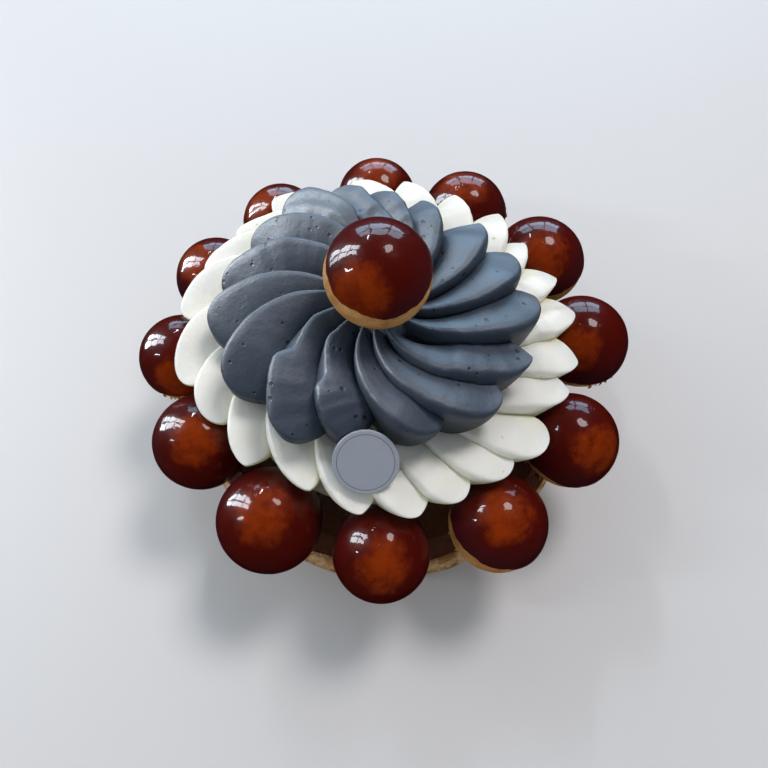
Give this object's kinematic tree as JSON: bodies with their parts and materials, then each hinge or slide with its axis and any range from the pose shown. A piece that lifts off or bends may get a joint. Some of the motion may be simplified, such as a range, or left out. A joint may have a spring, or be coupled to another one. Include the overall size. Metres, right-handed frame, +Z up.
{
  "type": "saint-honore cake",
  "caption": "Round choux gateau: caramel-dipped puffs ring a swirl of white and grey piped cream petals, with a puff on top and a small round plaque.",
  "frame": {"origin": "on the table under the middle of the cake's outline", "axes": "+Z up, -Y towards the plaque, +X to the right when the plaque faces the viewer"},
  "size_m": [0.1786, 0.1762, 0.1121],
  "materials": {
    "flaky_pastry": "baked flaky pastry",
    "browned_choux": "baked choux, browned",
    "caramel_choux": "choux under a hard glossy caramel",
    "white_cream": "piped whipped cream, satin",
    "grey_cream": "piped whipped cream, satin",
    "plaque": "smooth, matte"
  },
  "bodies": {
    "root": {"pastry_disc": "flaky_pastry", "choux_round": "browned_choux", "ring_puff_01": "caramel_choux", "ring_puff_02": "caramel_choux", "ring_puff_03": "caramel_choux", "ring_puff_04": "caramel_choux", "ring_puff_05": "caramel_choux", "ring_puff_06": "caramel_choux", "ring_puff_07": "caramel_choux", "ring_puff_08": "caramel_choux", "ring_puff_09": "caramel_choux", "ring_puff_10": "caramel_choux", "ring_puff_11": "caramel_choux", "ring_puff_12": "caramel_choux", "top_puff": "caramel_choux", "white_cream": "white_cream", "grey_cream": "grey_cream", "plaque": "plaque"}
  },
  "joints": []
}
